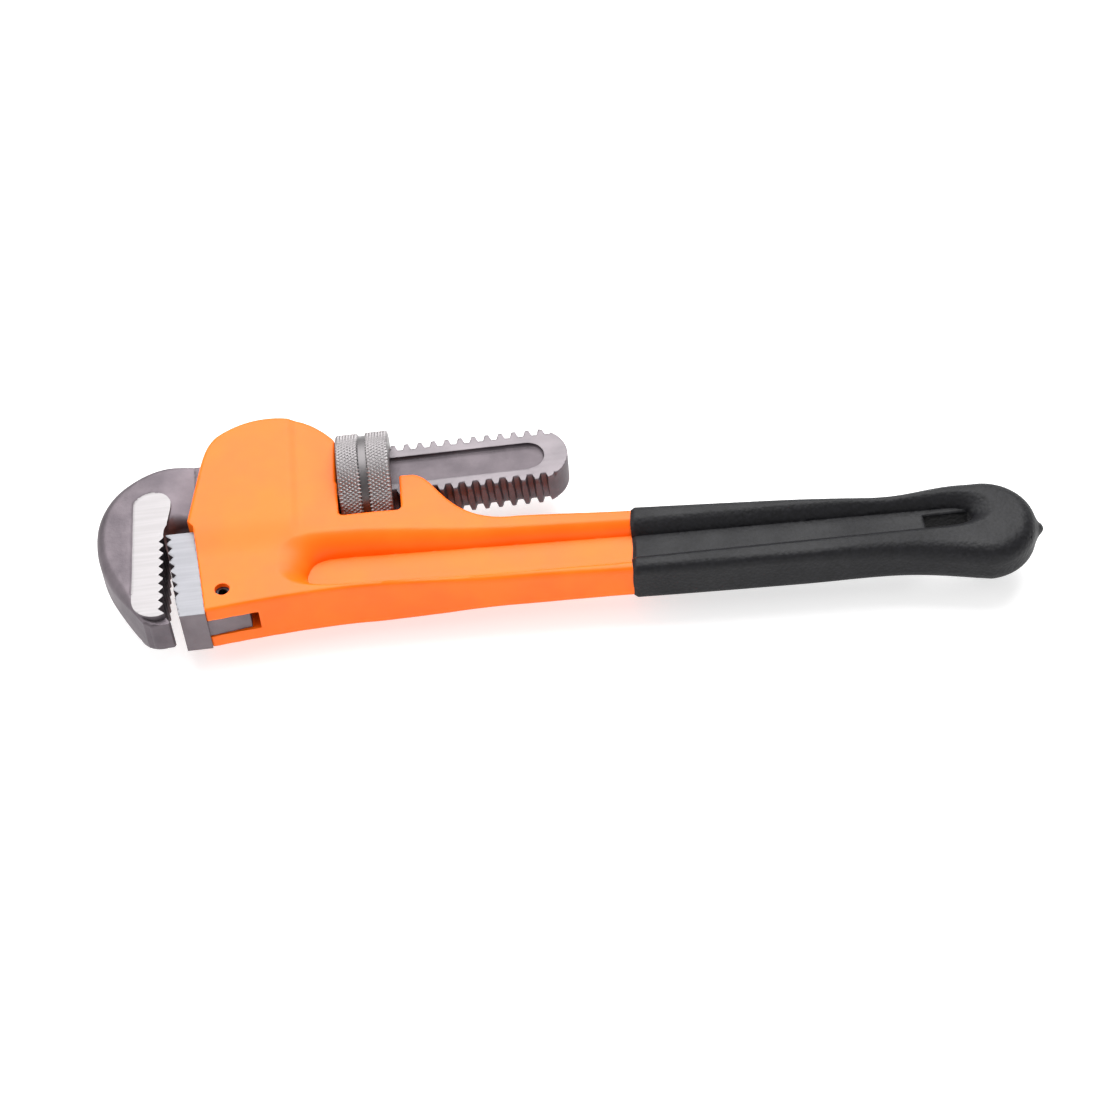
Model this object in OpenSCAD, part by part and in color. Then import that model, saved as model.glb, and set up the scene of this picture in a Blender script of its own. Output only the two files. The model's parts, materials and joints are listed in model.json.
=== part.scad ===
// Straight pipe wrench: cast handle, forged hook jaw with a threaded shank, knurled nut,
// pinned heel jaw, spring pack in the head and a dipped vinyl grip.
// Drawn lying on its side, with the jaws closed.

/* [Size] */
// Diameter of the knurled nut, the thickest piece
nut_d = 44.2; // [43.6:0.1:45]
// Length of the nut along the shank
nut_len = 22; // [21.6:0.1:22.4]
// Travel of the hook jaw from closed to fully open
jaw_travel = 63.5; // [50:0.5:64]
// Small angle that the hook jaw rocks open against its springs
rock_deg = 1.3; // [0.5:0.1:1.3]

/* [Thread] */
// Pitch of the single-start thread
pitch = 5.7; // [5.5:0.1:5.9]
// Diameter over the thread crests
crest_d = 32.4; // [32.2:0.1:32.6]
// Depth of the thread
thread_depth = 2.7; // [2.5:0.1:2.8]
// Width of a thread crest
crest_w = 1.6; // [1.4:0.1:1.8]
// Width of a thread at its root
root_w = 3.6; // [3.4:0.1:3.8]
// Radial clearance between nut and shank
thread_gap = 0.35; // [0.3:0.05:0.4]

/* [Hook jaw] */
// Thickness of the shank
shank_t = 14.7; // [14:0.1:14.8]
// Thickness of the hook outside the head
hook_t = 20.6; // [19:0.1:21.4]
// Number of hook jaw teeth
hook_teeth = 9; // [7:1:9]
// Depth of the jaw teeth
tooth_depth = 1.9; // [1.2:0.1:2]

/* [Heel jaw] */
// Thickness of the heel jaw block
heel_t = 21.6; // [20:0.1:22]
// Number of heel jaw teeth
heel_teeth = 7; // [5:1:7]
// Tilt of the heel jaw's toothed face
heel_tilt = 6.3; // [6:0.1:6.6]
// Thickness of the tongue that enters the head
tongue_t = 9; // [8:0.1:9.6]
// Diameter of the slotted spring pin
pin_d = 6.2; // [5.8:0.1:6.4]
// Length of the spring pin
pin_len = 19; // [17:0.5:22]

/* [Handle] */
// Thickness of the head around the shank
collar_t = 28.8; // [28:0.1:29.6]
// Thickness of the head at the heel jaw
head_t = 23.4; // [22.6:0.1:24]
// Thickness of the handle where the grip starts
beam_t = 17; // [16:0.1:18]
// Thickness of the web between the two flanges
web_t = 6.4; // [5:0.1:8]
// Where the dipped grip starts, from the nut's centre
dip_x = 105; // [100:1:112]
// Thickness of the dipped vinyl coat
coat = 1.3; // [0.8:0.1:1.5]
// Lean of the dip line, as a slope across the handle
dip_lean = 0.086; // [0:0.001:0.1]

/* [Hidden] */
$fn = 72;
eps = 0.01;
big = 200;

// All modules draw with the shank's axis along X and the nut's centre at the origin.
// The part's own origin is under the middle of its box: these four are the box's sides.
hook_left = -112.8;
end_x = 249;
end_y = -64.5;
end_r = 20.2;
nub_r = 3;
nub_x = end_x + end_r + coat + 0.1;
hump = [-40, -1.3];
hump_r = 34;
box_x = [hook_left, nub_x + nub_r];
box_y = [end_y - end_r - coat, hump[1] + hump_r];
mid_x = (box_x[0] + box_x[1]) / 2;
mid_y = (box_y[0] + box_y[1]) / 2;

// Thread radii
crest_r = crest_d / 2;
root_r = crest_r - thread_depth;
nut_minor_r = root_r + thread_gap;
nut_major_r = crest_r + thread_gap;
axial_gap = 0.3;
flank = (root_w - crest_w) / 2 / thread_depth;
thread_from = -42.3;
// The shank still reaches past the nut when the jaws are fully open
tail_x = nut_len / 2 + jaw_travel + 10.8;
tail_r = 15;

// Half thickness where the head runs into the handle
neck_half = 10.7;

// Nut window, with room for the nut to rock, and the space round the shank
window_x = [-nut_len / 2 - nut_d / 2 * sin(rock_deg) - 0.3, nut_len / 2 + 3.3];
window_floor = -26.4;
shank_gap = 0.4;
channel_w = shank_t + 2 * shank_gap;
channel_roof = 19.1;
channel_floor = -16.9;
ear_floor = -18;

// Spring pack, in the hump above the shank
strip_x = [-58, -17];
strip_y = crest_r + 0.7;
strip_t = 0.8;
strip_w = 9;
coil_x = -38;
coil_r = 4.2;
coil_wire = 1.3;
coil_turns = 5;
coil_top = 28.2;
rivet_r = 1.2;

// Points on an arc, and on a cubic curve
function arc(c, r, a0, a1, n) =
    [for (i = [0:n]) let (a = a0 + (a1 - a0) * i / n) c + r * [cos(a), sin(a)]];
function curve(p0, p1, p2, p3, n) =
    [for (i = [0:n]) let (t = i / n, s = 1 - t)
        s * s * s * p0 + 3 * s * s * t * p1 + 3 * s * t * t * p2 + t * t * t * p3];
// One row of jaw teeth: d runs along the row, out points away from the jaw
function tooth_row(start, d, out, n, step) =
    [for (i = [0:n - 1]) each [
        start + d * (i * step),
        start + d * (i * step + 0.8),
        start + d * (i * step + 0.62 * step) - out * tooth_depth]];

// Slab of a 2D outline, centred on the wrench's middle plane
module slab(points, t) {
    translate([0, 0, -t / 2]) linear_extrude(t) polygon(points);
}
module box(x0, x1, y0, y1, z0, z1) {
    translate([x0, y0, z0]) cube([x1 - x0, y1 - y0, z1 - z0]);
}
// The part's own frame
module place() {
    translate([-mid_x, -mid_y, nut_d / 2]) children();
}

// ---- Cast handle ----

seat_top = [-71.5, -25.9];
seat_foot = [-67.2, -70.7];

// Outline of the head, from the seat of the heel jaw round the hump to the ramp
head_outline = concat(
    [seat_foot, seat_top, [-74.1, -22.4]],
    curve([-69.6, 3], [-67.6, 14.5], [-66.2, 20], [-61.9, 24.7], 8),
    arc(hump, hump_r, 128, 34, 24),
    [[window_x[0], -6.5]],
    [[19, -6.5]],
    curve([19, -6.5], [31, -6.5], [29.5, -35], [62, -34.3], 16),
    [[62, -69.2], [45, -68.9], [19.5, -68], [-5, -66.8], [-37, -67.2]]);

// Outline of the handle, grown by g on every side
function handle_outline(g) = concat(
    [[50, -69 - g], [50, -33 + g]],
    curve([62, -34.3 + g], [110, -38 + g], [160, -42 + g], [206, -46.5 + g], 12),
    curve([206, -46.5 + g], [222, -47.5 + g], [230, -42.9 + g], [246, -44.3 + g], 8),
    arc([end_x, end_y], end_r + g, 84, -90, 26),
    curve([243, -83.4 - g], [222, -78 - g], [215, -76.4 - g], [193, -75.3 - g], 8),
    [[157, -73.9 - g], [128, -72.7 - g], [105, -71.4 - g]]);

// Outline of the recess on each face, shrunk by g on every side
function recess_outline(g) = concat(
    [for (i = [0:12]) let (a = 90 + 15 * i) [-10 + 21 * cos(a), -50 + (11 - g) * sin(a)]],
    [[60, -64.8 + g], [108, -66 + g], [240, -68.6 + g]],
    arc([end_x - 5.5, -59], 9.4 - g, -80, 80, 10),
    [[240, -49.6 - g], [108, -45.6 - g], [60, -44.3 - g]]);

// Opening at the end of the web, for a nail or a hook, shrunk by g on every side
hang_y = -60.4;
hang_half = 5.8;
module hang_slot(g) {
    box(224.3 + g, end_x - 4.7, hang_y - hang_half + g, hang_y + hang_half - g, -big, big);
    translate([end_x - 4.7, hang_y, -big]) cylinder(r = hang_half - g, h = 2 * big);
}

// The handle beam with its two recesses, grown by g on every side
module beam(g) {
    half = beam_t / 2 + g;
    difference() {
        intersection() {
            slab(handle_outline(g), head_t);
            rotate([90, 0, 0]) translate([0, 0, -big]) linear_extrude(2 * big)
                polygon([[49, 9.2 + g], [dip_x, half], [280, half],
                         [280, -half], [dip_x, -half], [49, -9.2 - g]]);
        }
        for (s = [-1, 1])
            translate([0, 0, s * (web_t / 2 + g + big / 2)]) slab(recess_outline(g), big);
        hang_slot(g);
    }
}

module head_solid() {
    intersection() {
        slab(head_outline, collar_t);
        union() {
            // Thick collar above, thinner head below, seen along the shank
            rotate([90, 0, 90]) translate([0, 0, -80]) linear_extrude(80 + window_x[0])
                polygon([[-90, head_t / 2], [-33, head_t / 2], [-25, collar_t / 2], [40, collar_t / 2],
                         [40, -collar_t / 2], [-25, -collar_t / 2], [-33, -head_t / 2],
                         [-90, -head_t / 2]]);
            // Taper from the head into the handle, seen from the side
            rotate([90, 0, 0]) translate([0, 0, -big]) linear_extrude(2 * big)
                polygon([[window_x[0] - eps, head_t / 2], [22, neck_half], [50, 9.2], [62, 9.1],
                         [62, -9.1], [50, -9.2], [22, -neck_half], [window_x[0] - eps, -head_t / 2]]);
        }
    }
}

module tongue_slot() {
    translate([0, 0, -tongue_t / 2 - 0.3]) linear_extrude(tongue_t + 0.6)
        polygon([[-80, -48], [-46.6, -48], [-46.6, -90], [-80, -90]]);
}

module spring_pocket() {
    box(strip_x[0] - 1.5, strip_x[1] + 1.5, 0, 21.6, -strip_w / 2 - 0.6, strip_w / 2 + 0.6);
    translate([coil_x, 0, 0]) rotate([-90, 0, 0]) cylinder(r = coil_r + 0.6, h = coil_top);
}

module handle_body() {
    color("#ff7d2a") difference() {
        union() {
            difference() {
                head_solid();
                for (s = [-1, 1])
                    translate([0, 0, s * (web_t / 2 + big / 2)]) slab(recess_outline(0), big);
            }
            beam(0);
        }
        box(window_x[0], window_x[1], window_floor, big, -big, big);
        box(-big, 0, channel_floor, channel_roof, -channel_w / 2, channel_w / 2);
        box(0, 50, ear_floor, big, -channel_w / 2, channel_w / 2);
        spring_pocket();
        tongue_slot();
        translate([-60.1, -60, -big / 2]) cylinder(d = pin_d, h = big);
    }
}

// ---- Dipped grip ----

module grip_sleeve() {
    color("#1c1c1e") difference() {
        union() {
            intersection() {
                beam(coat);
                slab([[dip_x - 18 * dip_lean, -90], [dip_x + 52 * dip_lean, -20], [300, -20], [300, -90]],
                     big);
            }
            intersection() {
                translate([nub_x, end_y - 2, 0]) sphere(r = nub_r);
                box(nub_x - 1, 300, -big, big, -big, big);
            }
        }
        beam(0);
    }
}

// ---- Heel jaw and its pin ----

heel_top = [-83.4, -25.9];
heel_d = [sin(heel_tilt), -cos(heel_tilt)];
heel_out = [-cos(heel_tilt), -sin(heel_tilt)];
heel_step = 5.05;
heel_outline = concat(
    [seat_top],
    tooth_row(heel_top, heel_d, heel_out, heel_teeth, heel_step),
    [heel_top + heel_d * heel_teeth * heel_step, [-77.6, -71.6], [-67.2, -71.6], seat_foot]);

module heel_jaw() {
    color("#a9abae") difference() {
        union() {
            slab(heel_outline, heel_t);
            translate([0, 0, -tongue_t / 2]) linear_extrude(tongue_t)
                polygon([seat_top + [1.5, -23], [-50.2, -49], [-50.2, -67.7], seat_foot + [-1, 0.4]]);
        }
        translate([-60.1, -60, -big / 2]) cylinder(d = pin_d, h = big);
    }
}

module heel_jaw_pin() {
    wall = 1.2;
    slit = 1.3;
    color("#55565a") translate([-60.1, -60, -pin_len / 2]) difference() {
        cylinder(d = pin_d, h = pin_len);
        translate([0, 0, -1]) cylinder(d = pin_d - 2 * wall, h = pin_len + 2);
        translate([0, -slit / 2, -1]) cube([pin_d, slit, pin_len + 2]);
    }
}

// ---- Hook jaw ----

hook_face = -84.4;
hook_step = 4.6;
back_y = 14.8;

// Side view of the hook, up to the edge that faces the head
hook_outline = concat(
    [[-76.4, -16.2]],
    arc([-76.4, -24.2], 8, 90, 180, 8),
    tooth_row([hook_face, -26], [0, -1], [1, 0], hook_teeth, hook_step),
    [[hook_face, -26 - hook_teeth * hook_step], [-81.6, -70.6], [-82.4, -71.6]],
    arc([-88.6, -68.6], 3.4, -75, -140, 4),
    curve([-92.6, -70.2], [-108.3, -48.2], [hook_left, -36], [hook_left, -20], 16),
    curve([hook_left, -20], [hook_left, -2], [-101, back_y], [-80, back_y], 18),
    [[-68.8, back_y], [-75.2, -16.2]]);

// Two rows of thread crests on the shank: half rings, tilted by the lead angle
module crest_ring() {
    // The flanks run on into the core of the shank
    foot = root_w / 2 + flank;
    rotate([0, 90, 0]) rotate_extrude()
        polygon([[root_r - 3, -foot], [root_r - 1, -foot], [crest_r, -crest_w / 2],
                 [crest_r, crest_w / 2], [root_r - 1, foot], [root_r - 3, foot]]);
}

module shank_threads() {
    lead = atan(pitch / (2 * PI * crest_r));
    n = floor((tail_x - thread_from) / pitch) - 1;
    for (side = [0, 1]) rotate([180 * side, 0, 0]) intersection() {
        box(thread_from, tail_x - 4, 8, big, -shank_t / 2, shank_t / 2);
        for (i = [0:n - 1])
            translate([thread_from + 3 + (i + side / 2) * pitch, 0, 0]) rotate([0, lead, 0]) crest_ring();
    }
}

module hook_jaw() {
    color("#77757b") difference() {
        union() {
            slab(hook_outline, hook_t);
            // Plain part of the shank, next to the hook
            slab([[-84, -16.2], [-84, back_y], [thread_from + 1, back_y], [thread_from + 1, -16.2]],
                 shank_t);
            // Core of the threaded part, with its rounded tail
            intersection() {
                rotate([0, 90, 0]) translate([0, 0, -big]) cylinder(r = root_r, h = 2 * big, $fn = 120);
                slab(concat([[-60, -tail_r]], arc([tail_x - tail_r, 0], tail_r, -90, 90, 20),
                            [[-60, tail_r]]), shank_t);
            }
            intersection() {
                shank_threads();
                slab(concat([[-60, -20]], arc([tail_x - tail_r - 1, 0], tail_r + 1.6, -90, 90, 20),
                            [[-60, 20]]), shank_t);
            }
        }
        // Forged recess on each face of the shank
        for (s = [-1, 1])
            translate([0, 0, s * (shank_t / 2 + big / 2 - 2)])
                slab(concat([[-30, -8.3]], arc([68, -0.3], 8, -90, 90, 12), [[-30, 7.7]]), big);
    }
}

// ---- Knurled nut ----

// Internal thread: one ridge wound round the axis, in mesh with the shank's threads
module nut_thread() {
    per_turn = 36;
    top_half = (pitch - root_w) / 2 + thread_gap * flank - axial_gap;
    foot_half = (pitch - crest_w) / 2 + thread_gap * flank - axial_gap;
    profile = [[-foot_half, nut_major_r + 0.2], [-top_half, nut_minor_r],
               [top_half, nut_minor_r], [foot_half, nut_major_r + 0.2]];
    // Where a gap between two crests crosses +Y, nearest to the nut's middle
    first = thread_from + 3 + pitch / 2;
    phase = first - pitch * round(first / pitch);
    reach = nut_len / 2 - foot_half - 0.3;
    lo = ceil((-reach - phase) / pitch * per_turn);
    hi = floor((reach - phase) / pitch * per_turn);
    steps = hi - lo;
    points = [for (k = [lo:hi]) let (a = 360 * k / per_turn, x = phase + pitch * k / per_turn)
        for (p = profile) [x + p[0], p[1] * cos(a), p[1] * sin(a)]];
    sides = [for (k = [0:steps - 1], j = [0:3]) let (m = (j + 1) % 4)
        [4 * k + 4 + j, 4 * k + 4 + m, 4 * k + m, 4 * k + j]];
    polyhedron(points, concat([[0, 1, 2, 3]], sides,
        [[4 * steps + 3, 4 * steps + 2, 4 * steps + 1, 4 * steps]]), convexity = 10);
}

module adjusting_nut() {
    h = nut_len / 2;
    r = nut_d / 2;
    groove = 1.75;
    lip = 1.2;
    color("#8d8f93") {
        rotate([0, 90, 0]) rotate_extrude($fn = 120)
            polygon([[nut_major_r, -h], [r - lip, -h], [r, -h + lip], [r, -groove - 0.6],
                     [r - 0.8, -groove], [r - 0.8, groove], [r, groove + 0.6], [r, h - lip],
                     [r - lip, h], [nut_major_r, h]]);
        nut_thread();
    }
}

// ---- Springs ----

module coil_spring() {
    per_turn = 16;
    sides = 8;
    low = strip_y + strip_t + coil_wire / 2;
    rise = coil_top - coil_wire / 2 - 0.05 - low;
    n = coil_turns * per_turn;
    mean_r = coil_r - coil_wire / 2;
    // The last turn at each end lies flat
    function climb(t) = min(1, max(0, (t * coil_turns - 0.75) / (coil_turns - 1.5)));
    points = [for (k = [0:n], j = [0:sides - 1])
        let (a = 360 * k / per_turn, b = 360 * j / sides,
             rr = mean_r + coil_wire / 2 * cos(b))
        [coil_x + rr * cos(a), low + rise * climb(k / n) + coil_wire / 2 * sin(b), rr * sin(a)]];
    skin = [for (k = [0:n - 1], j = [0:sides - 1]) let (m = (j + 1) % sides)
        [sides * k + j, sides * (k + 1) + j, sides * (k + 1) + m, sides * k + m]];
    color("#5f6166") polyhedron(points, concat([[for (j = [0:sides - 1]) j]], skin,
        [[for (j = [sides - 1:-1:0]) sides * n + j]]), convexity = 10);
}

module flat_spring() {
    color("#6c6e73") difference() {
        box(strip_x[0], strip_x[1], strip_y, strip_y + strip_t, -strip_w / 2, strip_w / 2);
        translate([coil_x, strip_y - 1, 0]) rotate([-90, 0, 0]) cylinder(r = rivet_r, h = 3);
    }
}

module spring_rivet() {
    head_r = 2.4;
    color("#b0b2b5") translate([coil_x, strip_y - 0.3, 0]) rotate([-90, 0, 0]) {
        cylinder(r = rivet_r, h = strip_t + 1.2);
        cylinder(r = head_r, h = 0.3);
        translate([0, 0, strip_t + 0.3]) cylinder(r = head_r, h = 0.9);
    }
}

place() handle_body();
place() grip_sleeve();
place() heel_jaw();
place() heel_jaw_pin();
place() hook_jaw();
place() adjusting_nut();
place() coil_spring();
place() flat_spring();
place() spring_rivet();
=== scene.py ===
import json
import math

import bpy
import numpy as np
from mathutils import Matrix, Vector


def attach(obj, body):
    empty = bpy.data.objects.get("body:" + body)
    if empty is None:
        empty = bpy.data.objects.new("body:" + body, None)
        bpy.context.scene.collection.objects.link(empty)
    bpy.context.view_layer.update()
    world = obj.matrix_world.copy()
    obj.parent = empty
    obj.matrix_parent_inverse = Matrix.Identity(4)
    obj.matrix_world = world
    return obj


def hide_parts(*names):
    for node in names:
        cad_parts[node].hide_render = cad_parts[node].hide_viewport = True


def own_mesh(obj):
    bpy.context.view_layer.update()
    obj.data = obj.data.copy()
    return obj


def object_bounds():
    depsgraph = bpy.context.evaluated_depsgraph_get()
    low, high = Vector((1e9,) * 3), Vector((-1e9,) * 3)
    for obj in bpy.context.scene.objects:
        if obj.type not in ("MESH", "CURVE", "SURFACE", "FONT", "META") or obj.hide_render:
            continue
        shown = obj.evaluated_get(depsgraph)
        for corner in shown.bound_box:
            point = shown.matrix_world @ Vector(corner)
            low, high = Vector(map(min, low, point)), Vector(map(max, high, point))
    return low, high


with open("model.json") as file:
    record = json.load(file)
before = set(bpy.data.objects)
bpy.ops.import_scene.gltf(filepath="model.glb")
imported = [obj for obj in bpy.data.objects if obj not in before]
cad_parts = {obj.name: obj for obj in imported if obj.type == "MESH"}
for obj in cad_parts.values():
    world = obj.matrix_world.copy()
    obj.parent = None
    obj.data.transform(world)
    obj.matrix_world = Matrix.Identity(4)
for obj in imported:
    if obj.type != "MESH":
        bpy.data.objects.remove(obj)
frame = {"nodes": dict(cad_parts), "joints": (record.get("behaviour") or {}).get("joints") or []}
cad_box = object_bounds()

# ---------------------------------------------------------------------------
# Camera: a short telephoto above the near side of the wrench, a little rolled,
# so that the shank climbs gently to the right.

shank_axis = next(Vector(j["pos_m"]) for j in frame["joints"] if j["name"] == "nut_spin")
camera = bpy.data.objects.new("camera", bpy.data.cameras.new("camera"))
bpy.context.scene.collection.objects.link(camera)
bpy.context.scene.camera = camera
camera.data.lens = 84.3
camera.data.sensor_width = 36.0
swing, height, roll = -1.25, 48, -5.5
turn = (
    Matrix.Rotation(math.radians(swing), 4, "Z")
    @ Matrix.Rotation(math.radians(90 - height), 4, "X")
    @ Matrix.Rotation(math.radians(roll), 4, "Z")
)
from_nut = turn @ Vector((0.0793, -0.0295, 1.097))
camera.matrix_world = Matrix.Translation(shank_axis + from_nut) @ turn


# ---------------------------------------------------------------------------
# Handle: one ductile iron casting, the head with its nut window and the I-beam
# behind it. The sand mould leaves every edge rounded and drafts the recess;
# it is then sprayed with orange enamel. The seat of the heel jaw is milled.

def arc(centre, radius, start, end, count):
    """Points on an arc, in degrees."""
    a = np.radians(np.linspace(start, end, count + 1))
    return [(centre[0] + radius * c, centre[1] + radius * s) for c, s in zip(np.cos(a), np.sin(a))]


def curve(p0, p1, p2, p3, count):
    """Points on a cubic curve with two handles."""
    t = np.linspace(0, 1, count + 1)[:, None]
    p0, p1, p2, p3 = (np.array(p, float) for p in (p0, p1, p2, p3))
    return list(map(tuple, (1 - t)**3 * p0 + 3 * (1 - t)**2 * t * p1 + 3 * (1 - t) * t**2 * p2 + t**3 * p3))


def from_outline(points, x, y):
    """Distance to a closed outline in mm, negative inside."""
    near = np.full(np.broadcast(x, y).shape, 1e9)
    inside = np.zeros(near.shape, bool)
    for (ax, ay), (bx, by) in zip(points, points[1:] + points[:1]):
        ex, ey = bx - ax, by - ay
        t = np.clip(((x - ax) * ex + (y - ay) * ey) / (ex * ex + ey * ey + 1e-12), 0, 1)
        near = np.minimum(near, (x - ax - t * ex)**2 + (y - ay - t * ey)**2)
        crosses = (ay > y) != (by > y)
        inside ^= crosses & (x < ax + (y - ay) * ex / (ey if ey else 1e-12))
    return np.where(inside, -1, 1) * np.sqrt(near)


def meet(a, b, radius):
    """What two shapes share, with a round edge between them."""
    a, b = a + radius, b + radius
    return np.minimum(np.maximum(a, b), 0) + np.hypot(np.maximum(a, 0), np.maximum(b, 0)) - radius


def join(a, b, radius):
    """Two shapes together, with a fillet between them."""
    return -meet(-a, -b, radius)


def ease(value, start, end):
    """0 before start, 1 after end, and smooth between."""
    t = np.clip((value - start) / (end - start), 0, 1)
    return t * t * (3 - 2 * t)


def ticks(*stretches):
    """Places along an axis: each stretch is (from, to, spacing)."""
    return np.concatenate([np.arange(a, b, step) for a, b, step in stretches])


def skin(name, shape, axes, body):
    """Turns a shape into a mesh that keeps its sharp edges, on a grid of mm places."""
    n = tuple(len(a) for a in axes)
    value = shape(axes[0][:, None, None], axes[1][None, :, None], axes[2][None, None, :])
    value = np.broadcast_to(value, n)
    solid = value < 0
    # How closely each crossing is found, and how far round it the slope is felt
    halvings, reach = 9, 0.03
    points, cells, flips = [], [], []
    for a in range(3):
        low = tuple(slice(0, -1) if i == a else slice(1, -1) for i in range(3))
        high = tuple(slice(1, None) if i == a else slice(1, -1) for i in range(3))
        cross = np.argwhere(solid[low] != solid[high]) + [int(i != a) for i in range(3)]
        step = np.eye(3, dtype=int)[a]
        inner = np.stack([axes[i][cross[:, i]] for i in range(3)], 1)
        outer = np.stack([axes[i][(cross + step)[:, i]] for i in range(3)], 1)
        starts_solid = solid[tuple(cross.T)]
        inner, outer = (np.where(starts_solid[:, None], p, q) for p, q in ((inner, outer), (outer, inner)))
        for _ in range(halvings):
            middle = (inner + outer) / 2
            within = (shape(*middle.T) < 0)[:, None]
            inner, outer = np.where(within, middle, inner), np.where(within, outer, middle)
        points.append((inner + outer) / 2)
        b, c = np.eye(3, dtype=int)[(a + 1) % 3], np.eye(3, dtype=int)[(a + 2) % 3]
        ring = [np.ravel_multi_index((cross - s).T, n) for s in (b + c, c, 0 * b, b)]
        cells.append(np.stack(ring, 1))
        flips.append(starts_solid)
    points, cells, flips = map(np.concatenate, (points, cells, flips))
    normals = np.stack([shape(*(points + reach * e).T) - shape(*(points - reach * e).T)
                        for e in np.eye(3)], 1)
    normals /= np.linalg.norm(normals, axis=1, keepdims=True) + 1e-12
    used, at = np.unique(cells.ravel(), return_inverse=True)
    edge = np.repeat(np.arange(len(points)), 4)
    total = np.bincount(at)
    middle = np.stack([np.bincount(at, points[edge, i]) / total for i in range(3)], 1)
    off = np.einsum("ij,ij->i", normals[edge], points[edge] - middle[at])
    pull = np.stack([np.bincount(at, normals[edge, i] * off) for i in range(3)], 1)
    matrix = np.stack([np.stack([np.bincount(at, normals[edge, i] * normals[edge, j])
                                 for j in range(3)], 1) for i in range(3)], 1)
    # A little weight on staying put keeps flat cells from sliding along their face
    shift = np.linalg.solve(matrix + 0.05 * np.eye(3), pull[..., None])[..., 0]
    widest = min(np.diff(a).min() for a in axes)
    vertices = (middle + np.clip(shift, -widest, widest)) / 1000 + np.array(shank_axis)
    quads = at.reshape(-1, 4)
    quads = np.where(flips[:, None], quads, quads[:, ::-1])
    mesh = bpy.data.meshes.new(name)
    mesh.from_pydata(vertices.tolist(), [], quads.tolist())
    crease = math.radians(38)
    mesh.set_sharp_from_angle(angle=crease)
    piece = bpy.data.objects.new(name, mesh)
    bpy.context.scene.collection.objects.link(piece)
    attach(piece, body)
    return piece


# In mm from the nut's centre, with the shank's axis along X, as are all shapes below.
HUMP = (-40, -1.3)
HUMP_RADIUS = 33.97
DIP = 105
END = (249, -64.5)
END_RADIUS = 20.2
WEB = 3.2
WINDOW = (-11.8, 14.3)
WINDOW_FLOOR = -26.4
SEAT = (-71.5, -25.9)
PIN = (-60.1, -60)
PIN_HOLE = 3.1
COIL_X = -38
COIL_TOP = 28.2


def casting_outline(grow):
    """The handle seen from above; the dipped part of it grows with a coat."""
    return (
        [(-71.7, -71.1), (-76.0, -26.2), (-74.1, -22.4)]
        + curve((-69.6, 3), (-67.6, 14.5), (-66.2, 20), (-61.9, 24.7), 12)
        + arc(HUMP, HUMP_RADIUS, 128, 32, 36)
        + [(-11.8, -6.5)]
        + curve((19, -6.5), (31, -6.5), (29.5, -35), (62, -34.3 + grow), 24)
        + curve((62, -34.3 + grow), (110, -38 + grow), (160, -42 + grow), (206, -46.5 + grow), 24)[1:]
        + curve((206, -46.5 + grow), (222, -47.5 + grow), (230, -42.9 + grow), (246, -44.3 + grow), 16)[1:]
        + arc(END, END_RADIUS + grow, 84, -90, 40)
        + curve((243, -83.4 - grow), (222, -78 - grow), (215, -76.4 - grow), (193, -75.3 - grow), 16)
        + curve((193, -75.3 - grow), (140, -73.1 - grow), (128, -72.7 - grow), (105, -71.4 - grow), 10)[1:]
        + curve((105, -71.4 - grow), (60, -68.7), (10, -67.4), (-5, -66.8), 16)[1:]
        + curve((-5, -66.8), (-25, -66.4), (-50, -68.6), (-71.7, -71.1), 16)[1:-1]
    )


def recess(x, y, grow):
    """How far a place is down the drafted wall of the recess: 0 on the flange, 1 on the web.
    Also the distance to the web's edge, negative over the web."""
    along = [-34, -4, 60, 108, 240]
    far = np.interp(x, along, [-33.6, -35.0, -41.0, -43.6, -48.2])
    near = np.interp(x, along, [-63.6, -65.2, -66.8, -68.0, -70.2])
    middle, half = (far + near) / 2, (far - near) / 2
    across = (y - middle) / half
    far_wall = np.interp(x, along, [9.0, 8.8, 5.3, 5.0, 4.4])
    near_wall = np.interp(x, along, [5.5, 4.0, 3.9, 4.0, 4.2])
    wall = near_wall + (far_wall - near_wall) * ease(across, -0.9, 0.9) + 0.6 * grow
    nose, tail = -11, 235
    beyond = np.where(x < nose, (nose - x) / 27, np.maximum(x - tail, 0) / 22)
    blunt = np.where(x < 100, 2.7, 2.0)
    inward = (1 - (beyond**blunt + abs(across)**blunt)**(1 / blunt)) * half - 0.6 * grow
    return np.clip(inward / wall, 0, 1), wall - inward


def handle_beam(x, y, z, grow):
    """The handle as a plate of changing thickness, grown by a coat."""
    flange = 11.7 - 2.5 * ease(x, -4, 54) - 0.8 * ease(x, 54, 108)
    collar = 2.7 - 1.2 * ease(x, -32, -27) - 1.5 * ease(x, -27, -12)
    flange = flange + collar * ease(y, -43, -25)
    edge = 1.6 + 0.8 * ease(x, 20, 60) + 3.2 * ease(x, 170, 240) + 1.15 * grow
    down, to_web = recess(x, y, grow)
    crisp = 1.4
    top = WEB + grow + (flange - WEB) * (1 - down**crisp)**(1 / crisp)
    plate = meet(from_outline(casting_outline(grow), x, y), abs(z) - top, edge)
    hole_start, hole_y, hole_half = 224.5, -60.6, 5.2
    hole = np.maximum(np.maximum(hole_start + grow - x, to_web), abs(y - hole_y) - hole_half + grow)
    return meet(plate, -hole, 1.2)


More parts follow.
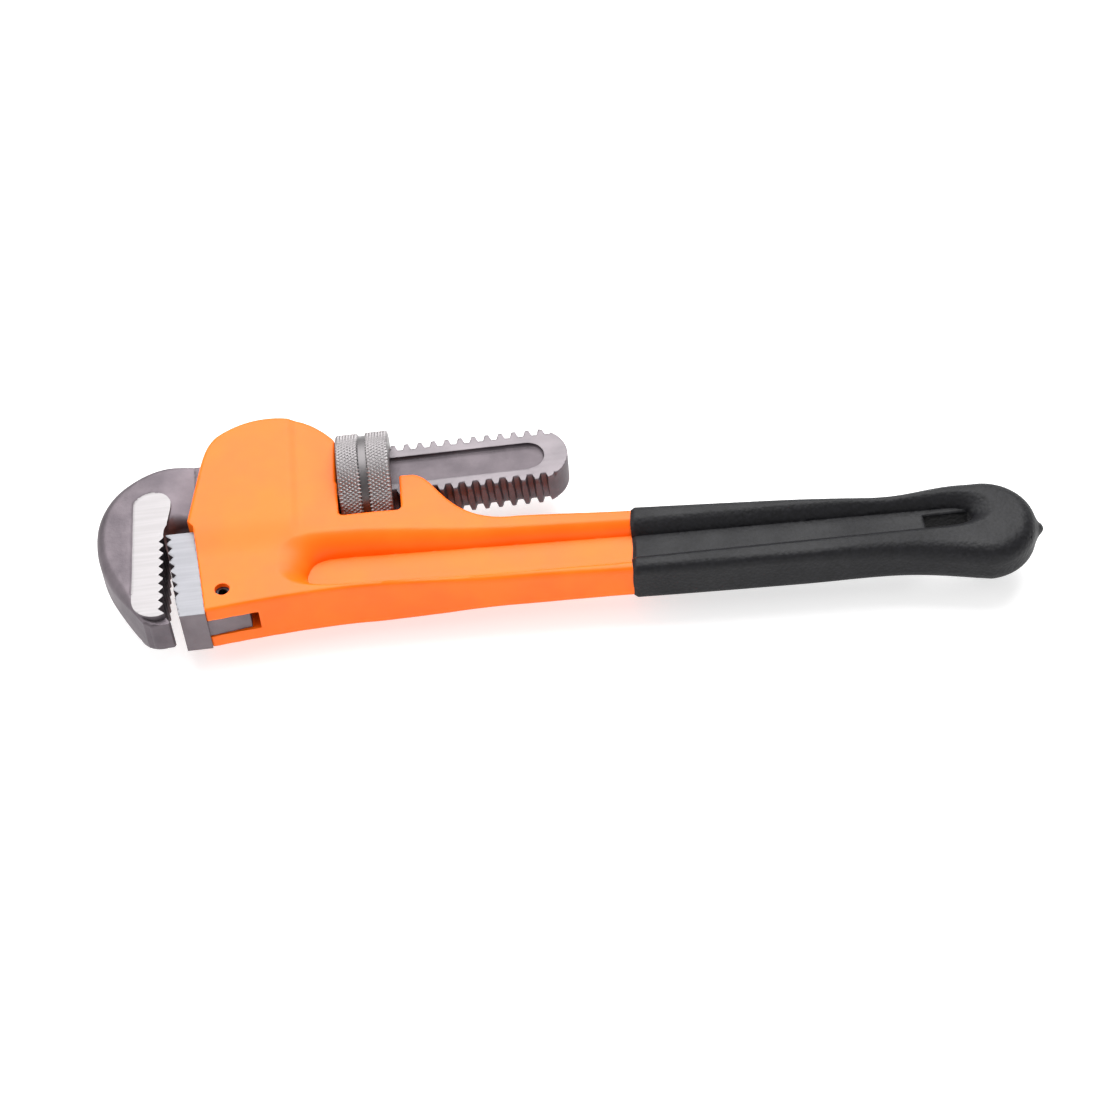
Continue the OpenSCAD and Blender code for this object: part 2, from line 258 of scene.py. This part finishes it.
def casting(x, y, z):
    """The beam with the nut's window, the shank's channel and the other openings of the head."""
    shape = handle_beam(x, y, z, 0)
    corner = 2.4
    left, right, low = WINDOW[0] + corner, WINDOW[1] - corner, WINDOW_FLOOR + corner
    window = from_outline(
        [(WINDOW[0], 60), (WINDOW[0], low)] + arc((left, low), corner, 180, 270, 6)
        + arc((right, low), corner, 270, 360, 6) + [(WINDOW[1], 60)], x, y)
    shape = meet(shape, -window, 0.9)
    # The shank's channel through the head, then the fork of the ear behind the nut
    slit = abs(z) - 7.75
    channel = np.maximum(np.maximum(slit, x), np.maximum(-16.9 - y, y - 19.1))
    shape = meet(shape, -channel, 0.5)
    shape = meet(shape, -np.maximum(np.maximum(slit, -x), -18 - y), 0.7)
    # The strip's slot, and the coil's bore up into the hump
    strip_slot = np.maximum(np.maximum(abs(z) - 5.1, abs(x + 37.5) - 22), np.maximum(y - 21.6, -y))
    bore = np.maximum(np.hypot(x - COIL_X, z) - 4.8, np.maximum(y - COIL_TOP, -y))
    shape = np.maximum(shape, -np.minimum(strip_slot, bore))
    # The heel jaw's milled seat, the slot for its tongue and the pin's hole
    along, up = x - SEAT[0], y - SEAT[1]
    seat = (along * 44.8 + up * 4.3) / math.hypot(44.8, 4.3)
    lip = (along * 3.5 + up * 2.6) / math.hypot(3.5, 2.6)
    shape = meet(shape, -np.maximum(seat, lip), 0.5)
    tongue = np.maximum(np.maximum(x + 46.6, y + 48), abs(z) - 4.8)
    shape = meet(shape, -tongue, 0.5)
    return np.maximum(shape, PIN_HOLE - np.hypot(x - PIN[0], y - PIN[1]))


handle = skin(
    "handle_casting", casting,
    (ticks((-78, -62, 0.5), (-62, DIP + 6, 0.8), (DIP + 6, 272, 1.6)), ticks((-87, 35, 0.8)),
     ticks((-15.6, 15.7, 0.8))),
    "handle")
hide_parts("handle_body")


def colour(code):
    """sRGB hex to the linear values that shaders use."""
    parts = [int(code[i:i + 2], 16) / 255 for i in (1, 3, 5)]
    return tuple(c / 12.92 if c < 0.04045 else ((c + 0.055) / 1.055)**2.4 for c in parts) + (1.0,)


def add(tree, kind, inputs=(), **settings):
    """Adds one node: settings are its own, inputs are values or sockets to link."""
    node = tree.nodes.new(kind)
    for key, value in settings.items():
        setattr(node, key, value)
    for socket, value in dict(inputs).items():
        if isinstance(value, bpy.types.NodeSocket):
            tree.links.new(value, node.inputs[socket])
        else:
            node.inputs[socket].default_value = value
    return node


def new_material(name, **values):
    """A Principled material with its fixed values, its tree and object coordinates."""
    material = bpy.data.materials.new(name)
    material.use_nodes = True
    tree = material.node_tree
    shader = tree.nodes["Principled BSDF"]
    for key, value in values.items():
        shader.inputs[key.replace("_", " ")].default_value = value
    place = add(tree, "ShaderNodeTexCoord").outputs["Object"]
    return material, tree, shader, place


def mottle(tree, place, size_mm, detail=3.0, stretch=(1, 1, 1)):
    """Noise whose blotches are about size_mm across."""
    if stretch != (1, 1, 1):
        place = add(tree, "ShaderNodeMapping", {"Vector": place, "Scale": stretch}).outputs["Vector"]
    return add(tree, "ShaderNodeTexNoise",
               {"Vector": place, "Scale": 500 / size_mm, "Detail": detail}).outputs["Fac"]


def blend_colours(tree, factor, low, high, start=0.35, end=0.65):
    """A ramp between two hex colours over a stretch of the factor."""
    ramp = add(tree, "ShaderNodeValToRGB", {"Fac": factor})
    ramp.color_ramp.elements[0].position = start
    ramp.color_ramp.elements[0].color = colour(low)
    ramp.color_ramp.elements[1].position = end
    ramp.color_ramp.elements[1].color = colour(high)
    return ramp.outputs["Color"]


def remap(tree, value, start, end, low, high):
    """Moves a value from one stretch to another."""
    stretches = {"From Min": start, "From Max": end, "To Min": low, "To Max": high}
    return add(tree, "ShaderNodeMapRange", {"Value": value, **stretches}).outputs["Result"]


def bump(tree, shader, layers):
    """Stacks bump layers, each (height socket, depth in mm), onto the shader."""
    normal = None
    for height, depth in layers:
        inputs = {"Height": height, "Strength": 1.0, "Distance": depth / 1000}
        if normal is not None:
            inputs["Normal"] = normal
        normal = add(tree, "ShaderNodeBump", inputs).outputs["Normal"]
    tree.links.new(normal, shader.inputs["Normal"])


def sprayed_enamel():
    """Orange enamel over sand-cast iron: satin, with faint orange peel and the casting's waviness."""
    material, tree, shader, place = new_material("sprayed_orange_enamel", IOR=1.5, Specular_IOR_Level=0.28)
    peel = mottle(tree, place, 1.4, 2.0)
    waves = mottle(tree, place, 11.0, 2.0)
    tree.links.new(blend_colours(tree, waves, "#F76600", "#FC6E05"), shader.inputs["Base Color"])
    tree.links.new(remap(tree, waves, 0.3, 0.7, 0.38, 0.46), shader.inputs["Roughness"])
    bump(tree, shader, [(waves, 0.16), (peel, 0.02)])
    return material


handle.data.materials.append(sprayed_enamel())


# ---------------------------------------------------------------------------
# Grip: the end of the handle dipped in black vinyl plastisol and cured. It
# rounds every edge, pools a little at the dip line and leaves a drip at the
# very end. The hang slot stays open through it.

COAT = 1.3
DIP_LEAN = 0.086


def sleeve(x, y, z):
    """The coat outside the casting, from the dip line to the drip."""
    wander = 0.2 * np.sin(y * 0.33 + 1.0) + 0.12 * np.sin(z * 0.5 + y * 0.12)
    past = x - DIP - DIP_LEAN * (y + 72) - wander
    # The coat thins out over the last 1.8 mm before the dip line
    coat = handle_beam(x, y, z, COAT) + 0.7 * COAT * (1 - ease(past, 0, 1.8))
    drip_y, drip_from, drip_end, drip_point = -66.5, 268.5, 273.4, 274.3
    cone = (np.hypot(y - drip_y, z) - (drip_point - x)) / math.sqrt(2)
    drip = np.maximum(meet(cone, x - drip_end, 1.0), drip_from - x)
    coat = join(coat, drip, 1.2)
    # Hollow round the casting; the thin lip keeps some thickness under the paint
    iron = handle_beam(x, y, z, 0) + 0.1 + 1.4 * (1 - ease(past, 1, 4))
    return np.maximum(np.maximum(coat, -past), -iron)


grip = skin(
    "dipped_grip", sleeve,
    (ticks((DIP - 3, 276, 0.8)), ticks((-89, -35, 0.8)), ticks((-11.6, 11.7, 0.8))),
    "handle")
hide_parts("grip_sleeve")


def dipped_vinyl():
    """Cured plastisol: near black, dull, with a fine pebble from gas in the coat."""
    material, tree, shader, place = new_material("dipped_black_vinyl", IOR=1.52, Specular_IOR_Level=0.24)
    pebble_mm = 1.5
    pebble = add(tree, "ShaderNodeTexVoronoi",
                 {"Vector": place, "Scale": 1000 / pebble_mm, "Randomness": 1.0})
    grain = mottle(tree, place, 0.9, 3.0)
    waves = mottle(tree, place, 9.0, 2.0)
    tree.links.new(blend_colours(tree, grain, "#09090C", "#131317"), shader.inputs["Base Color"])
    tree.links.new(remap(tree, waves, 0.3, 0.7, 0.5, 0.6), shader.inputs["Roughness"])
    bump(tree, shader, [(waves, 0.15), (pebble.outputs["Distance"], -0.15), (grain, 0.06)])
    return material


grip.data.materials.append(dipped_vinyl())


# ---------------------------------------------------------------------------
# Heel jaw: a hardened steel block, milled on the sides, with a row of hooked
# teeth and a tongue that the spring pin holds in the head's slot.

TOOTH = 1.9
HEEL_HALF = 10.8


def tooth_row(start, along, outward, count, step):
    """A row of teeth: a narrow land, then a notch cut back into the jaw."""
    start, along, outward = (np.array(v, float) for v in (start, along, outward))
    row = []
    for i in range(count):
        row += [start + along * i * step, start + along * (i * step + 0.7),
                start + along * (i + 0.62) * step - outward * TOOTH]
    return [tuple(p) for p in row]


tilt = math.radians(6.3)
down_the_teeth = (math.sin(tilt), -math.cos(tilt))
out_of_the_teeth = (-math.cos(tilt), -math.sin(tilt))
heel_outline = (
    [SEAT]
    + tooth_row((-83.4, SEAT[1]), down_the_teeth, out_of_the_teeth, 7, 5.05)
    + [(-79.5, -61.1), (-77.6, -71.6), (-67.2, -71.6), (-67.2, -70.7)])
tongue_outline = [(-70, -48.9), (-50.2, -49), (-50.2, -67.7), (-68.2, -70.3)]


def heel_block(x, y, z):
    """The block and its tongue, with the pin's hole through both."""
    block = meet(from_outline(heel_outline, x, y), abs(z) - HEEL_HALF, 0.35)
    tongue = meet(from_outline(tongue_outline, x, y), abs(z) - 4.5, 0.3)
    return np.maximum(np.minimum(block, tongue), PIN_HOLE - np.hypot(x - PIN[0], y - PIN[1]))


heel = skin(
    "heel_jaw_block", heel_block,
    (ticks((-85.2, -47, 0.5)), ticks((-73, -24, 0.5)), ticks((-12, 12.1, 0.5))),
    "handle")
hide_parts("heel_jaw")


def maths(tree, operation, a, b=0.0):
    """One sum on two numbers or sockets."""
    return add(tree, "ShaderNodeMath", {0: a, 1: b}, operation=operation).outputs["Value"]


def steel(name, lands, scale_colours, wheel_colours):
    """Forged steel: dark scale, and bright where a wheel has ground it flat.
    A land is a height above the middle plane, where it starts and ends along X, and its polish."""
    material, tree, shader, place = new_material(name, Metallic=0.9)
    split = add(tree, "ShaderNodeSeparateXYZ", {"Vector": place}).outputs
    height = maths(tree, "ABSOLUTE", maths(tree, "SUBTRACT", split["Z"], shank_axis.z))
    worn = remap(tree, mottle(tree, place, 3.0, 4.0), 0.3, 0.7, -0.00002, 0.00002)
    height = maths(tree, "ADD", height, worn)
    ground = 0.0
    for land, start, end, polish in lands:
        here = remap(tree, height, (land - 0.12) / 1000, (land - 0.04) / 1000, 0, 1)
        for side, limit in (("GREATER_THAN", start), ("LESS_THAN", end)):
            within = maths(tree, side, split["X"], shank_axis.x + limit / 1000)
            here = maths(tree, "MULTIPLY", here, within)
        ground = maths(tree, "MAXIMUM", maths(tree, "MULTIPLY", here, polish), ground)
    scale = mottle(tree, place, 5.0, 5.0)
    pits = mottle(tree, place, 0.8, 3.0)
    lines = mottle(tree, place, 0.9, 2.0, (0.06, 1, 1))
    forged = blend_colours(tree, scale, *scale_colours)
    # Painted shade: the shank's hollow and its threaded sides, below the rails, are darkened towards a dark
    # brown-grey
    painted_hollow_shade_factor = maths(tree, "MAXIMUM", remap(tree, height, 0.0055, 0.0069, 0.7, 1),
                  maths(tree, "LESS_THAN", split["X"], shank_axis.x - 0.045))
    forged = add(tree, "ShaderNodeMix", {"Factor": painted_hollow_shade_factor, 6: colour("#3A3637"), 7: forged},
                 data_type="RGBA").outputs[2]
    wheel = blend_colours(tree, lines, *wheel_colours, 0.4, 0.72)
    mix = add(tree, "ShaderNodeMix", {"Factor": ground, 6: forged, 7: wheel}, data_type="RGBA")
    tree.links.new(mix.outputs[2], shader.inputs["Base Color"])
    tree.links.new(remap(tree, ground, 0, 1, 0.55, 0.5), shader.inputs["Roughness"])
    pits = maths(tree, "MULTIPLY", pits, remap(tree, ground, 0, 1, 1.0, 0.1))
    bump(tree, shader, [(pits, 0.10), (lines, 0.004)])
    return material


heel.data.materials.append(steel(
    "ground_heel_jaw_steel", [(HEEL_HALF, -90, -60, 1.0)],
    ("#6A6266", "#766E72"), ("#7C7C80", "#848488")))


# ---------------------------------------------------------------------------
# Spring pin: slotted, rolled from spring steel strip and driven through head
# and tongue, a little below the paint.

pin = frame["nodes"]["heel_jaw_pin"]


def rolled_strip():
    """Blued spring steel, dark, with fine drawn lines round it."""
    material, tree, shader, place = new_material("blued_spring_steel", Metallic=1.0)
    lines = mottle(tree, place, 0.6, 3.0)
    tree.links.new(blend_colours(tree, lines, "#3A3A3E", "#55555A"), shader.inputs["Base Color"])
    tree.links.new(remap(tree, lines, 0.3, 0.7, 0.35, 0.5), shader.inputs["Roughness"])
    bump(tree, shader, [(lines, 0.02)])
    return material


spring_steel = rolled_strip()
pin.data.materials.clear()
pin.data.materials.append(spring_steel)


# ---------------------------------------------------------------------------
# Hook jaw: one steel forging. The hook is thick and rounded, with a ground
# land beside its teeth; the shank behind it is thinner, ground along its rails,
# forged hollow between them and threaded on its two narrow sides.

PITCH = 5.7
CREST = 16.2
ROOT = 13.5
THREAD_START = -39.3
SHANK = 7.35
HOOK_HALF = 10.05
LAND = 10.3

hook_outline = (
    arc((-76.4, -24.2), 8, 90, 180, 10)
    + tooth_row((-84.4, -26), (0, -1), (1, 0), 9, 4.6)
    + [(-84.4, -67.4), (-81.6, -70.6), (-82.4, -71.6)]
    + arc((-88.8, -69.9), 2.0, -78, -142, 5)
    + curve((-92.6, -70.2), (-108.3, -48.2), (-112.75, -36), (-112.75, -20), 24)
    + curve((-112.75, -20), (-112.75, -2), (-101, 14.7), (-80, 14.7), 24)[1:]
    + [(-66.0, 14.7), (-66.0, -16.2)])
land_outline = (
    arc((-89.4, -8.3), 8.1, 180, 10, 16)
    + curve((-81.5, -9.5), (-82.2, -15), (-83.2, -18), (-83.6, -25), 8)
    + [(-83.6, -68.2)]
    + arc((-87.6, -59.8), 9.6, -80, -180, 12))
shank_outline = [(-72, -CREST), (-72, 14.7), (THREAD_START, 14.7), (THREAD_START, -CREST)]


def forging(x, y, z):
    """The whole hook jaw: thick hook, thin shank, thread and hollow."""
    # The hook eases down to the shank beside the head
    front = ((x + 72.0) * 30.8 - (y + 0.8) * 6.4) / math.hypot(30.8, 6.4)
    thick = SHANK + (HOOK_HALF - SHANK) * (1 - ease(front, -15, 1))
    outline = from_outline(hook_outline, x, y)
    land_edge = from_outline(land_outline, x, y)
    crown = 0.5 * ease(land_edge, 0, 14)
    throat = ease(x, -85, -80) * (1 - ease(x, -76, -69)) * (1 - ease(y, -8, 4))
    back = (1 - ease(x, -100, -84)) * (1 - 0.9 * ease(-y, 50, 64))
    plain_edge = 0.8 + 1.6 * (1 - ease(x, -86, -72)) * (1 - 0.7 * ease(-y, 58, 68))
    # The teeth are milled right across, so their side keeps a sharp edge
    milled = ease(x, -88.5, -85.5) * ease(-y, 21, 27)
    edge = (plain_edge + 3.8 * throat + 1.9 * back) * (1 - 0.85 * milled)
    hook = meet(outline, abs(z) - thick + crown, edge)
    hook = np.minimum(hook, meet(np.maximum(land_edge, outline), abs(z) - LAND, 0.12))
    # Plain shank, then the thread, wound right-handed round the shank's axis
    plain = meet(from_outline(shank_outline, x, y), abs(z) - SHANK, 0.8)
    around = np.hypot(y, z)
    turns = np.arctan2(z, y) / (2 * math.pi)
    from_crest = (x - THREAD_START - turns * PITCH + PITCH / 2) % PITCH - PITCH / 2
    height = ease(1.95 - abs(from_crest), 0.0, 1.35) * ease(x, -44, -41)
    thread = around - (ROOT + (CREST - ROOT) * height)
    round_end = np.hypot(np.maximum(x - 70.3, 0), y) - 15.2
    thread = np.maximum(np.maximum(thread, round_end), -50 - x)
    threaded = meet(thread, abs(z) - SHANK, 0.5)
    whole = np.minimum(np.minimum(hook, plain), threaded)
    hollow = meet(np.hypot(np.clip(x, -30, 68) - x, y + 0.3) - 7.6, 5.4 - abs(z), 0.9)
    return meet(whole, -hollow, 0.35)


jaw = skin(
    "hook_jaw_forging", forging,
    (ticks((-115, 87, 0.6)), ticks((-73.5, 18, 0.6)), ticks((-11.6, 11.7, 0.6))),
    "jaw")
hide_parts("hook_jaw")
jaw.data.materials.append(steel(
    "forged_hook_jaw_steel", [(LAND, -120, -78, 1.0), (SHANK, THREAD_START, 90, 0.3)],
    ("#5F585D", "#6E666B"), ("#8E8B8C", "#969394")))


# ---------------------------------------------------------------------------
# Adjusting nut: turned from bar, two bands diamond-knurled with a plain groove
# between them, and a thread cut inside.

def knurl_tree():
    """Geometry Nodes: rows of small pyramids round a band."""
    tree = bpy.data.node_groups.new("diamond_knurl", "GeometryNodeTree")
    tree.interface.new_socket("Geometry", in_out="OUTPUT", socket_type="NodeSocketGeometry")
    for name, kind in (("Around", "Int"), ("Rows", "Int"), ("Radius", "Float"), ("Row spacing", "Float"),
                       ("Start", "Float"), ("Depth", "Float"), ("Material", "Material")):
        tree.interface.new_socket(name, in_out="INPUT", socket_type="NodeSocket" + kind)
    given = add(tree, "NodeGroupInput").outputs

    index = add(tree, "GeometryNodeInputIndex").outputs["Index"]
    row = maths(tree, "FLOOR", maths(tree, "DIVIDE", index, given["Around"]))
    place = maths(tree, "SUBTRACT", index, maths(tree, "MULTIPLY", row, given["Around"]))
    place = maths(tree, "ADD", place, maths(tree, "MULTIPLY", maths(tree, "MODULO", row, 2.0), 0.5))
    angle = maths(tree, "MULTIPLY", maths(tree, "DIVIDE", place, given["Around"]), 2 * math.pi)
    x = maths(tree, "ADD", given["Start"], maths(tree, "MULTIPLY", row, given["Row spacing"]))
    y = maths(tree, "MULTIPLY", given["Radius"], maths(tree, "COSINE", angle))
    z = maths(tree, "MULTIPLY", given["Radius"], maths(tree, "SINE", angle))
    position = add(tree, "ShaderNodeCombineXYZ", {"X": x, "Y": y, "Z": z}).outputs["Vector"]
    count = maths(tree, "MULTIPLY", given["Around"], given["Rows"])
    points = add(tree, "GeometryNodePoints", {"Count": count, "Position": position}).outputs["Points"]
    tip = maths(tree, "SUBTRACT", angle, math.pi / 2)
    turned = add(tree, "ShaderNodeCombineXYZ", {"X": tip}).outputs["Vector"]
    turned = add(tree, "FunctionNodeEulerToRotation", {"Euler": turned}).outputs["Rotation"]
    wide = maths(tree, "DIVIDE", maths(tree, "MULTIPLY", given["Radius"], math.pi), given["Around"])
    cone = add(tree, "GeometryNodeMeshCone",
               {"Vertices": 4, "Radius Top": 0.22, "Radius Bottom": 1.0, "Depth": 1.0}, fill_type="NGON")
    size = add(tree, "ShaderNodeCombineXYZ",
               {"X": given["Row spacing"], "Y": wide, "Z": given["Depth"]}).outputs["Vector"]
    placed = add(tree, "GeometryNodeInstanceOnPoints",
                 {"Points": points, "Instance": cone.outputs["Mesh"], "Rotation": turned, "Scale": size})
    real = add(tree, "GeometryNodeRealizeInstances", {"Geometry": placed.outputs["Instances"]})
    dressed = add(tree, "GeometryNodeSetMaterial",
                  {"Geometry": real.outputs["Geometry"], "Material": given["Material"]})
    add(tree, "NodeGroupOutput", {"Geometry": dressed.outputs["Geometry"]})
    return tree


def grow_mesh(name, tree, values):
    """Runs a tree once and returns its result as plain mesh data."""
    holder = bpy.data.objects.new(name, bpy.data.meshes.new(name))
    bpy.context.scene.collection.objects.link(holder)
    modifier = holder.modifiers.new(name, "NODES")
    modifier.node_group = tree
    for item in tree.interface.items_tree:
        if item.in_out == "INPUT" and item.name in values:
            modifier[item.identifier] = values[item.name]
    bpy.context.view_layer.update()
    result = bpy.data.meshes.new_from_object(holder.evaluated_get(bpy.context.evaluated_depsgraph_get()))
    bpy.data.objects.remove(holder)
    return result


def turned_steel():
    """Turned and knurled steel: darker the nearer a surface lies to the axis, so lighter on the points of
    the knurl and darker between them, in the groove and in the bore.
    """
    material, tree, shader, place = new_material("knurled_nut_steel", Metallic=0.85)
    scale = mottle(tree, place, 3.0, 4.0)
    centred = add(tree, "ShaderNodeVectorMath", {0: place, 1: shank_axis}, operation="SUBTRACT")
    across = add(tree, "ShaderNodeVectorMath",
                 {0: centred.outputs["Vector"], 1: (0, 1, 1)}, operation="MULTIPLY")
    radius = add(tree, "ShaderNodeVectorMath", {0: across.outputs["Vector"]}, operation="LENGTH")
    # Tone set by distance from the axis: darker in the groove, between the knurl's points and in the bore
    radius_tone = remap(tree, radius.outputs["Value"], 0.0210, 0.0221, 0.42, 0.75)
    radius_tone = maths(tree, "ADD", radius_tone, maths(tree, "MULTIPLY", scale, 0.2))
    tree.links.new(blend_colours(tree, radius_tone, "#363435", "#979394", 0.35, 0.85),
                   shader.inputs["Base Color"])
    tree.links.new(remap(tree, scale, 0.3, 0.7, 0.38, 0.5), shader.inputs["Roughness"])
    bump(tree, shader, [(mottle(tree, place, 0.7, 2.0), 0.02)])
    return material


nut_steel = turned_steel()
NUT_RADIUS = 21.7
NUT_HALF = 11


def nut_body(x, y, z):
    """The plain nut under its knurl, with a thread that clears the shank's."""
    across = np.hypot(y, z)
    groove = 0.8 * (1 - ease(abs(x), 1.5, 2.2))
    shape = meet(across - NUT_RADIUS + groove, abs(x) - NUT_HALF, 0.9)
    turns = np.arctan2(z, y) / (2 * math.pi)
    from_gap = (x - THREAD_START - turns * PITCH) % PITCH - PITCH / 2
    minor, depth = 14.0, 2.75
    return np.maximum(shape, minor + depth * ease(abs(from_gap), 0.9, 1.9) - across)


nut = skin(
    "adjusting_nut_turned", nut_body,
    (ticks((-11.9, 12.0, 0.6)), ticks((-23.4, 23.5, 0.6)), ticks((-23.4, 23.5, 0.6))),
    "nut")
nut.data.materials.append(nut_steel)
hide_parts("adjusting_nut")

knurl = knurl_tree()
rows, row_spacing = 7, 0.0012
for name, middle_x in (("knurl_jaw_side", -0.00615), ("knurl_tail_side", 0.00615)):
    band_mesh = grow_mesh(name, knurl, {
        "Around": 84, "Rows": rows, "Radius": 0.02162, "Row spacing": row_spacing, "Depth": 0.00045,
        "Start": middle_x - rows // 2 * row_spacing, "Material": nut_steel})
    band_mesh.transform(Matrix.Translation(shank_axis))
    band = bpy.data.objects.new(name, band_mesh)
    bpy.context.scene.collection.objects.link(band)
    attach(band, "nut")


# ---------------------------------------------------------------------------
# Springs: a flat strip that rubs on the thread crests, riveted inside a coil
# that presses on it from the hump of the head. The coil is wound from round
# wire, with a flat turn at each end, at a single length; the real one shortens as the jaw rocks.

def wound_wire(turns, per_turn, sides, radius, wire, low, high):
    """A coil along Y, in mm, with the last turn at each end wound flat."""
    turn = np.linspace(0, turns, turns * per_turn + 1)[:, None]
    side = np.linspace(0, 2 * math.pi, sides, endpoint=False)[None, :]
    flat = 0.75
    climb = np.clip((turn - flat) / (turns - 2 * flat), 0, 1)
    out = radius + wire * np.cos(side)
    around = 2 * math.pi * turn
    up = low + (high - low) * climb + wire * np.sin(side)
    places = np.broadcast_arrays(COIL_X + out * np.cos(around), up, out * np.sin(around))
    vertices = np.stack(places, -1).reshape(-1, 3) / 1000 + np.array(shank_axis)
    at = np.arange(len(turn) * sides).reshape(-1, sides)
    after = np.roll(at, -1, axis=1)
    quads = np.stack([at[:-1], after[:-1], after[1:], at[1:]], -1).reshape(-1, 4)
    mesh = bpy.data.meshes.new("wound_coil")
    mesh.from_pydata(vertices.tolist(), [], quads.tolist() + [at[0, ::-1].tolist(), at[-1].tolist()])
    mesh.shade_smooth()
    crease = math.radians(60)
    mesh.set_sharp_from_angle(angle=crease)
    return mesh


coil = bpy.data.objects.new("wound_coil", wound_wire(
    turns=5, per_turn=40, sides=14, radius=3.55, wire=0.65, low=18.35, high=27.5))
bpy.context.scene.collection.objects.link(coil)
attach(coil, "handle")
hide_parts("coil_spring")
coil.data.materials.append(spring_steel)
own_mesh(coil)

for node in ("flat_spring", "spring_rivet"):
    frame["nodes"][node].data.materials.clear()
    frame["nodes"][node].data.materials.append(spring_steel)


# ---------------------------------------------------------------------------
# Studio: a plain white table, lit a little from below, with one large soft light
# overhead and behind the wrench and two weak ones at the left and in front.

floor = bpy.data.objects.new("floor", bpy.data.meshes.new("floor"))
far = 40
floor.data.from_pydata(
    [(-far, -far, 0), (far, -far, 0), (far, far, 0), (-far, far, 0)], [], [(0, 1, 2, 3)])
bpy.context.scene.collection.objects.link(floor)
acrylic, _, acrylic_shader, _ = new_material(
    "backlit_white_acrylic", Roughness=0.9, Specular_IOR_Level=0.1, Emission_Strength=0.62)
acrylic_shader.inputs["Base Color"].default_value = colour("#CCCCCC")
acrylic_shader.inputs["Emission Color"].default_value = colour("#FFFFFF")
floor.data.materials.append(acrylic)

middle = (Vector(cad_box[0]) + Vector(cad_box[1])) / 2
for name, place, size, watts in (
    ("softbox_above", (0.1, 0.6, 1.05), 1.4, 32),
    ("softbox_left", (-1.2, -0.1, 0.8), 0.9, 10),
    ("softbox_near", (0.4, -1.3, 0.12), 1.2, 8),
):
    lamp = bpy.data.objects.new(name, bpy.data.lights.new(name, "AREA"))
    lamp.data.size = size
    lamp.data.energy = watts
    lamp.location = middle + Vector(place)
    lamp.rotation_euler = (middle - lamp.location).to_track_quat("-Z", "Y").to_euler()
    bpy.context.scene.collection.objects.link(lamp)

world = bpy.data.worlds.new("studio")
bpy.context.scene.world = world
world.use_nodes = True
# The backdrop looks as white as the table but lights the wrench only a little
backdrop = world.node_tree.nodes["Background"]
backdrop.inputs["Color"].default_value = colour("#FFFFFF")
seen = add(world.node_tree, "ShaderNodeLightPath").outputs["Is Camera Ray"]
world.node_tree.links.new(maths(world.node_tree, "MAXIMUM", seen, 0.35), backdrop.inputs["Strength"])
bpy.context.scene.view_settings.view_transform = "Standard"
